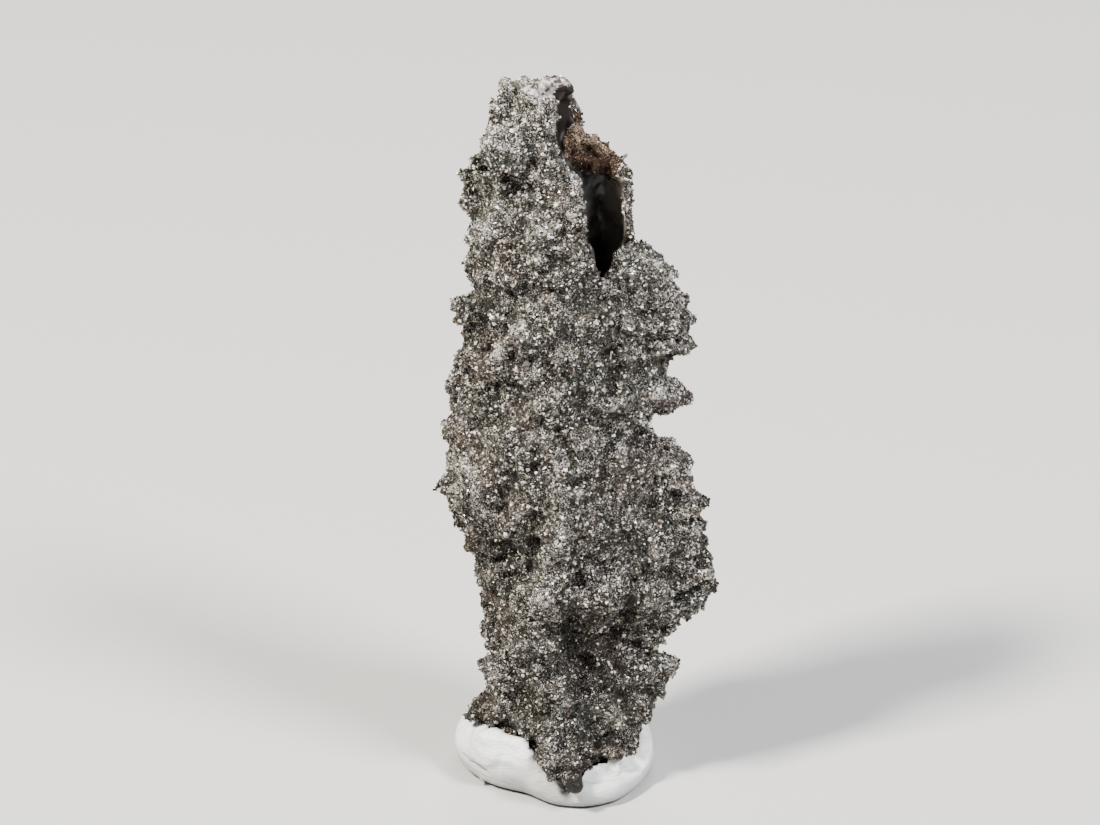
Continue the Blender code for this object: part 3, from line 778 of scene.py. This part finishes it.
@dataclass
class SandSheath:
    """The crust of fused sand and the glass that it turns into at the bore."""

    voxel: float = 0.23 * MM
    softening: int = 3
    seed: int = 7
    forms: tuple[Form, ...] = FRONT_FORMS
    # How far forms may move the crust, and where they fade as it turns away from the camera.
    form_limits_mm: Span = (-1.1, 0.8)
    form_facing: Span = (0.0, 0.45)
    # The size and the height of each layer of relief, and of the bends in it, in millimetres.
    swell: Span = (4.5, 0.3)
    clods: Span = (1.8, 0.5)
    crumbs: Span = (0.9, 0.3)
    bends: Span = (1.1, 0.45)
    # A knob's usual height, which is taken off so that the crust keeps its thickness.
    knob_middle: float = 0.45
    # How much paler the crust is where it stands out a millimetre, partly its own paleness and partly painted
    # light, how strongly its forms' painted light and shade count, how much painted light pales the crown,
    # how much painted shade darkens the foot, and the heights between which the crown and the foot fade.
    rise_tone_and_light: float = 1.25
    form_light_and_shade: float = 0.6
    crown_painted_light: float = 0.3
    crown_mm: Span = (57.5, 60.0)
    foot_painted_shade: float = 0.45
    foot_mm: Span = (6.0, 24.0)
    # How far the finishes reach round their rolls, as multiples of the radius.
    lip_width: float = 2.2
    bubble_width: float = 1.3
    nub_width: float = 1.35
    # How brown the knobs on the far wall are, and the relief that the throat loses.
    knob_brown: float = 0.6
    throat_calm: float = 0.6
    bore: Bore = field(default_factory=Bore)
    points: Array = field(init=False)
    normals: Array = field(init=False)
    tone: Array = field(init=False)
    skins: dict[Skin, Array] = field(init=False)

    def knobs(self, point: Vector, size_mm: float) -> float:
        """Gives the height of a field of rounded knobs at a point.

        Args:
            point: a place in metres.
            size_mm: the spacing of the knobs.

        Returns:
            1 on the top of a knob and 0 in the crease between two, less a knob's usual height.
        """
        near, _ = noise.voronoi(point / (size_mm * MM), distance_metric="DISTANCE")
        return 1.0 - min(1.0, near[0] / max(0.5 * (near[0] + near[1]), 1e-6)) ** 2 - self.knob_middle

    def rough(self, points: Array) -> Array:
        """Works out the crust's own unevenness, which is of the same kind all over.

        Args:
            points: places in metres.

        Returns:
            A length for each point, positive outwards.
        """
        shift = Vector((self.seed, 2 * self.seed, 3 * self.seed))
        rise = np.empty(len(points))
        for i, row in enumerate(points):
            place = Vector(row)
            swell = noise.noise(place / (self.swell[0] * MM) + shift)
            bend = Vector([noise.noise(place / (self.bends[0] * MM) + shift + step) for step in BEND_PLACES])
            bent = place + self.bends[1] * MM * bend
            clods = self.knobs(bent, self.clods[0])
            crumbs = self.knobs(bent, self.crumbs[0])
            rise[i] = (self.swell[1] * swell + self.clods[1] * clods + self.crumbs[1] * crumbs) * MM
        return rise

    def formed(self, points: Array, normals: Array) -> tuple[Array, Array]:
        """Works out what the front's own lumps and hollows do to each point.

        Args:
            points: places in metres.
            normals: the surface's directions there.

        Returns:
            How far each point moves outwards, and how much paler it is drawn: painted light where positive
            and painted shade where negative.
        """
        eye = np.array(EYE)
        reach = eye[1] / (eye[1] - points[:, 1])
        seen = np.column_stack([eye[k] + (points[:, k] - eye[k]) * reach for k in (0, 2)])
        toward = eye - points
        toward /= np.linalg.norm(toward, axis=1)[:, None]
        facing = smooth_step(*self.form_facing, np.einsum("ij,ij->i", toward, normals))
        shares = np.array([form.share(seen) for form in self.forms])
        rise = shares.T @ np.array([form.rise * MM for form in self.forms])
        tone = shares.T @ np.array([form.tone for form in self.forms])
        lowest, highest = (limit * MM for limit in self.form_limits_mm)
        return np.clip(rise, lowest, highest) * facing, np.clip(tone, -1.0, 1.0) * facing

    def toned(self, points: Array, rise: Array, tone: Array) -> Array:
        """Works out how pale or dark the crust is drawn at each point, with its painted light and shade.

        Args:
            points: places in metres.
            rise: how far the crust stands out.
            tone: what the front's own forms add.

        Returns:
            Up to 1 where it is drawn pale and down to -1 where it is drawn dark, from its own paleness and
            soot and from painted light and painted shade.
        """
        height_mm = points[:, 2] / MM
        # The crown's paleness is painted light and the foot's darkness painted shade.
        crown = self.crown_painted_light * smooth_step(*self.crown_mm, height_mm)
        foot = self.foot_painted_shade * (1.0 - smooth_step(*self.foot_mm, height_mm))
        # The ledge's top is paler with painted light.
        honey = share_of(self.bore.ledge_top_light, points)
        # The knobs' paleness is partly painted light, and the forms' tones are painted light and shade.
        paler = self.rise_tone_and_light * rise / MM + self.form_light_and_shade * tone + crown + honey
        # Soot darkens the nub, and the other zones paint shade.
        return np.clip(paler - foot - share_of(SOOT_AND_SHADE, points), -1.0, 1.0)

    def build(self) -> Object:
        """Builds the crust over the solid that it stands for.

        Returns:
            The finished piece.
        """
        bore = self.bore
        rolls = bore.lip + bore.bubbles + bore.shelf + TAIL + OUTER_KNOBS + (NUB,)
        made = refined_copy(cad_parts["fulgurite"], "sand_sheath", self.voxel, self.softening, rolls)
        mesh = made.data
        points, normals = read_vectors(mesh, "co"), read_vectors(mesh, "normal")
        throat, ledge = share_of(bore.throat, points), share_of(bore.ledge, points)
        milky = [roll.wider(self.lip_width) for roll in bore.lip]
        milky += [roll.wider(self.bubble_width) for roll in bore.bubbles]
        lip = share_of(milky, points) * (1.0 - throat)
        lining = bore.lining(points, normals) * (1.0 - ledge) * (1.0 - lip)
        brown = np.maximum(ledge, self.knob_brown * share_of(bore.rusty, points))
        self.skins = {
            Skin.GLASS: np.maximum(lining, throat),
            Skin.LIP: lip,
            Skin.LEDGE: brown * (1.0 - throat),
            Skin.NUB: NUB.wider(self.nub_width).share(points),
        }
        rise, tone = self.formed(points, normals)
        rise += self.rough(points)
        self.tone = self.toned(points, rise, tone)
        rise += sum(cut * MM * zone.share(points) for zone, cut in TRIMMED)
        rise *= 1.0 - self.throat_calm * throat
        for skin, share in self.skins.items():
            rise *= 1.0 - skin.calm * share
        write_points(mesh, points + normals * rise[:, None])
        self.points, self.normals = read_vectors(mesh, "co"), read_vectors(mesh, "normal")
        mesh.attributes.new(TONE, "FLOAT", "POINT").data.foreach_set("value", self.tone.astype(np.float32))
        self.dress(mesh)
        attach(made, "root")
        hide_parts("fulgurite")
        return made

    def dress(self, mesh: Mesh) -> None:
        """Gives each face the finish that it has the most of.

        Args:
            mesh: the sheath's mesh, with no materials yet.
        """
        for skin in Skin:
            mesh.materials.append(skin.finish.material())
        slots = [(slot, self.skins[skin]) for slot, skin in enumerate(Skin) if skin in self.skins]
        for face in mesh.polygons:
            corners = list(face.vertices)
            face.material_index = next((slot for slot, share in slots if share[corners].mean() > 0.5), 0)


@dataclass
class GrainCoat:
    """The separate grains of sand that stick to the crust, in bands up the tube."""

    sheath: SandSheath
    seed: int = 23
    # Half the size of a usual grain and how widely the sizes spread. Real ones are about 0.25 mm across.
    half_size_mm: float = 0.116
    spread: float = 0.28
    largest_mm: float = 0.2
    # How uneven a grain's corners are, and how flat or long it is.
    uneven: Span = (0.8, 1.2)
    stretch: Span = (0.65, 1.35)
    # How far grains stray from their places, and how far they are sunk in the crust or stand out of it.
    stray: float = 0.025 * MM
    sunk_mm: Span = (-0.117, 0.052)
    # The share of places that have no grain.
    missing: float = 0.45
    most_in_a_band: int = 24500
    # Rusty patches: their size, where their noise starts and ends, and how strong they are.
    patch_mm: float = 3.2
    patch_edge: Span = (0.1, 0.4)
    patch_rust: float = 0.7
    # Clusters of like grains: their size and how much they shift the tone.
    cluster_mm: float = 1.5
    cluster_tone: float = 0.6
    # The tones between which dusky and pale sand come in, and how much pale sand there is at most. The tone
    # holds painted light and shade, so these sands paint them too.
    dusky_edge: Span = (-0.1, 0.9)
    pale_edge: Span = (0.1, 0.9)
    pale_share: float = 0.65
    # How pale the mouth's rim is, how brown the knobs on the far wall are, and where its top faces up, which
    # is where honey sand paints light on it.
    rim_pale: float = 0.2
    knob_brown: float = 0.8
    upward: Span = (-0.2, 0.3)

    def sands(self, points: Array, normals: Array, tone: Array) -> Array:
        """Chooses each grain's mineral from the sand of its place.

        Args:
            points: places in metres.
            normals: the surface's directions there.
            tone: how pale or dark the crust is drawn at each point, with its painted light and shade.

        Returns:
            Each grain's number in the Mineral enum.
        """
        rng = np.random.default_rng(self.seed)
        bore = self.sheath.bore
        shift = Vector((self.seed, 0, self.seed))
        patch, cluster = (
            np.array([noise.noise(Vector(row) / (size * MM) + shift) for row in points])
            for size in (self.patch_mm, self.cluster_mm)
        )
        # The level follows the tone, so dusky sand paints shade and pale sand paints light where the tone
        # does.
        level = tone + self.cluster_tone * cluster
        knobs = share_of(bore.rusty, points)
        brown = np.maximum(share_of(bore.ledge, points), self.knob_brown * knobs)
        layers = (
            (Sand.RUSTY, np.maximum(self.patch_rust * smooth_step(*self.patch_edge, patch), knobs)),
            (Sand.DUSKY, smooth_step(*self.dusky_edge, -level)),
            (Sand.PALE, self.pale_share * smooth_step(*self.pale_edge, level)),
            (Sand.PALE, self.rim_pale * share_of(bore.rim, points)),
            (Sand.BROWN, brown * (1.0 - share_of(bore.throat, points))),
            # Honey sand on the up-facing top of the ledge paints light.
            (Sand.HONEY, share_of(bore.ledge_top_light, points) * smooth_step(*self.upward, normals[:, 2])),
        )
        mix = np.array(Sand.DESERT.value)
        for sand, share in layers:
            mix = mix * (1 - share[:, None]) + np.array(sand.value) * share[:, None]
        totals = np.cumsum(mix, axis=1)
        picks = rng.random((len(points), 1)) * totals[:, -1:]
        return np.minimum((picks > totals).sum(axis=1), len(Mineral) - 1)

    def grain_mesh(self, name: str, middles: Array, kinds: Array, rng: np.random.Generator) -> Mesh:
        """Joins many small crystals into one mesh.

        Args:
            name: the mesh's name.
            middles: the middle of each grain, in metres.
            kinds: each grain's mineral.
            rng: the source of sizes and turns.

        Returns:
            The mesh, with no materials yet.
        """
        corners = np.array([(1, 0, 0), (-1, 0, 0), (0, 1, 0), (0, -1, 0), (0, 0, 1), (0, 0, -1)], float)
        sides = np.array(
            [(0, 2, 4), (2, 1, 4), (1, 3, 4), (3, 0, 4), (2, 0, 5), (1, 2, 5), (3, 1, 5), (0, 3, 5)]
        )
        count = len(middles)
        sizes = self.half_size_mm * np.exp(rng.normal(0, self.spread, (count, 1, 1)))
        sizes = np.minimum(sizes, self.largest_mm)
        shape = corners[None] * rng.uniform(*self.uneven, (count, len(corners), 1))
        shape = shape * rng.uniform(*self.stretch, (count, 1, 3)) * sizes * MM
        turn = np.linalg.qr(rng.normal(size=(count, 3, 3)))[0]
        turn[:, :, 0] *= np.sign(np.linalg.det(turn))[:, None]
        vertices = np.einsum("nij,nkj->nki", turn, shape) + middles[:, None]
        faces = (sides[None] + len(corners) * np.arange(count)[:, None, None]).reshape(-1, 3)
        mesh = bpy.data.meshes.new(name)
        mesh.vertices.add(len(corners) * count)
        mesh.vertices.foreach_set("co", vertices.astype(np.float32).ravel())
        mesh.loops.add(faces.size)
        mesh.loops.foreach_set("vertex_index", faces.astype(np.int32).ravel())
        mesh.polygons.add(len(faces))
        mesh.polygons.foreach_set("loop_start", np.arange(0, faces.size, 3, dtype=np.int32))
        mesh.polygons.foreach_set("material_index", np.repeat(kinds, len(sides)).astype(np.int32))
        mesh.polygons.foreach_set("use_smooth", np.zeros(len(faces), bool))
        mesh.update(calc_edges=True)
        return mesh

    def build(self) -> list[Object]:
        """Strews the grains over the crust.

        Returns:
            The bands of grains, from the foot up.
        """
        rng = np.random.default_rng(self.seed)
        sheath = self.sheath
        bare = np.max([skin.bare * share for skin, share in sheath.skins.items()], axis=0)
        kept = rng.random(len(bare)) > np.maximum(bare, self.missing)
        points, normals, tone = sheath.points[kept], sheath.normals[kept], sheath.tone[kept]
        points = points + rng.normal(0, self.stray, points.shape)
        points = points + normals * rng.uniform(*self.sunk_mm, (len(points), 1)) * MM
        kinds = self.sands(points, normals, tone)
        order = np.argsort(points[:, 2], kind="stable")
        bands = max(1, math.ceil(len(order) / self.most_in_a_band))
        materials = [mineral.material() for mineral in Mineral]
        pieces = []
        for number, band in enumerate(np.array_split(order, bands), 1):
            name = f"sand_grains_{number}"
            mesh = self.grain_mesh(name, points[band], kinds[band], rng)
            for material in materials:
                mesh.materials.append(material)
            piece = add_object(name, mesh)
            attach(piece, "root")
            pieces.append(piece)
        return pieces


# ---------------------------------------------------------------- the putty


@dataclass
class PuttyPad:
    """The pad of putty, pressed up round the foot of the tube."""

    sheath: Object
    voxel: float = 0.2 * MM
    softening: int = 6
    seed: int = 5
    # Putty nearer the stone than the reach is drawn to it, wholly so below the smaller distance, and ends
    # this far inside it.
    grip_reach: float = 0.9 * MM
    grip_full: float = 0.45 * MM
    overlap: float = 0.05 * MM
    # The base stays flat: nothing grips below the first height, and lumps fade in up to the second.
    grip_height: float = 0.4 * MM
    flat_height: float = 0.8 * MM
    # Where the stone has come loose from the putty and a dark gap shows.
    loose: tuple[Zone, ...] = (Zone((2.2, -5.6, 3.6), (5.6, -4.2, 3.8), 1.3),)
    # The size and the height of the lumps and the folds, in millimetres.
    lumps: Span = (4.0, 0.25)
    folds: Span = (1.6, 0.08)
    # Where the putty has been pushed up, and the creases where one part has been folded on another.
    pushed: tuple[tuple[Zone, float], ...] = (
        (Zone((-7.2, -1.4, 4.2), (-6.2, -3.6, 4.0), 2.0), 0.4),
        (Zone((-5.2, -2.8, 4.4), (-2.4, -4.2, 4.2), 1.8), 0.22),
        (Zone((-5.0, -2.4, 4.6), (-2.5, -3.2, 4.5), 1.2), 0.4),
        (Zone((6.6, -2.8, 3.2), (7.6, -0.5, 4.2), 1.8), 0.4),
        (Zone((-7.2, -2.8, 1.7), (-4.4, -5.6, 1.4), 0.45), -0.5),
        (Zone((-4.4, -5.6, 1.4), (-1.4, -6.9, 1.0), 0.45), -0.4),
        (Zone((3.2, -4.8, 2.5), (6.4, -3.6, 2.8), 1.3), -0.6),
        (Zone((2.6, -5.4, 3.1), (5.4, -4.6, 3.1), 0.9), -0.4),
        (Zone((-3.6, -5.2, 3.4), (-1.4, -6.4, 1.9), 0.35), -0.2),
        (Zone((-6.3, -3.4, 0.5), (-5.6, -4.4, 0.4), 0.45), 0.55),
    )

    def build(self) -> Object:
        """Builds the pad over the solid that it stands for.

        Returns:
            The finished piece.
        """
        made = refined_copy(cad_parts["putty_pad"], "putty", self.voxel, self.softening)
        mesh = made.data
        points, normals = read_vectors(mesh, "co"), read_vectors(mesh, "normal")
        shift = Vector((self.seed, 0, 2 * self.seed))
        push = sum(rise * zone.share(points) for zone, rise in self.pushed)
        loose = share_of(self.loose, points)
        stone = BVHTree.FromObject(self.sheath, bpy.context.evaluated_depsgraph_get())
        for i, row in enumerate(points):
            place = Vector(row)
            lump = float(push[i]) + self.lumps[1] * noise.noise(place / (self.lumps[0] * MM) + shift)
            fold = self.folds[1] * noise.noise(place / (self.folds[0] * MM) + shift)
            above = min(1.0, max(0.0, place.z / self.flat_height))
            moved = place + Vector(normals[i]) * (lump + fold) * MM * above
            near, _, _, away = stone.find_nearest(place)
            if near is not None and away < self.grip_reach and place.z > self.grip_height:
                pull = 1.0 - float(smooth_step(self.grip_full, self.grip_reach, np.array(away)))
                pull *= 1.0 - float(loose[i])
                moved = moved.lerp(near + (near - place).normalized() * self.overlap, pull)
            moved.z = max(moved.z, 0.0)
            points[i] = moved
        write_points(mesh, points)
        mesh.materials.append(MountingPutty().material())
        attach(made, "root")
        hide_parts("putty_pad")
        return made


# ---------------------------------------------------------------- the studio


@dataclass
class Studio:
    """The floor, the soft lights and the camera."""

    floor_size: float = 3.0
    camera_place: Place = EYE
    camera_pitch: float = math.radians(27.9)
    lens_mm: float = 151.3
    sensor_mm: float = 36.0
    clip: Span = (0.01, 10.0)
    # What the lights face.
    aim: Place = (0.0, 0.0, 0.03)
    # A light's place, its width in metres, its watts and its colour.
    lights: tuple[tuple[Place, float, float, str], ...] = (
        ((-0.36, -0.18, 0.56), 0.1, 7.5, "#FFFBF3"),
        ((0.36, -0.24, 0.52), 0.16, 4.7, "#F9FAFF"),
        ((0.1, 0.45, 0.45), 0.3, 1.4, "#FFFFFF"),
    )
    contrast: str = "AgX - Medium High Contrast"
    sky: str = "#B8BABD"
    sky_strength: float = 0.23

    def build(self) -> None:
        """Adds the floor, the lights, the sky and the camera."""
        scene = bpy.context.scene
        bpy.ops.mesh.primitive_plane_add(size=self.floor_size)
        floor = bpy.context.active_object
        floor.name = "floor"
        floor.data.materials.append(StudioPaper().material())
        for number, (place, width, watts, tone) in enumerate(self.lights, 1):
            lamp = bpy.data.lights.new(f"softbox_{number}", "AREA")
            lamp.shape = "SQUARE"
            lamp.size = width
            lamp.energy = watts
            lamp.color = linear(tone)[:3]
            holder = add_object(lamp.name, lamp)
            holder.location = place
            holder.rotation_euler = (Vector(self.aim) - Vector(place)).to_track_quat("-Z", "Y").to_euler()
        scene.world = bpy.data.worlds.new("studio_air")
        scene.world.use_nodes = True
        background = scene.world.node_tree.nodes["Background"]
        background.inputs["Color"].default_value = linear(self.sky)
        background.inputs["Strength"].default_value = self.sky_strength
        scene.view_settings.look = self.contrast
        view = bpy.data.cameras.new("camera")
        view.sensor_width = self.sensor_mm
        view.lens = self.lens_mm
        view.clip_start, view.clip_end = self.clip
        scene.camera = add_object("camera", view)
        scene.camera.location = self.camera_place
        scene.camera.rotation_euler = (math.pi / 2 - self.camera_pitch, 0, 0)


def main() -> None:
    """Builds each piece in order and reports it."""
    logging.basicConfig(level=logging.INFO, format="%(message)s")
    sheath = SandSheath()
    crust = sheath.build()
    LOG.info("sand sheath: %d faces", len(crust.data.polygons))
    for band in GrainCoat(sheath).build():
        LOG.info("%s: %d faces", band.name, len(band.data.polygons))
    putty = PuttyPad(crust).build()
    LOG.info("putty: %d faces", len(putty.data.polygons))
    Studio().build()
    LOG.info("studio: floor, lights and camera")


if __name__ == "__main__":
    main()
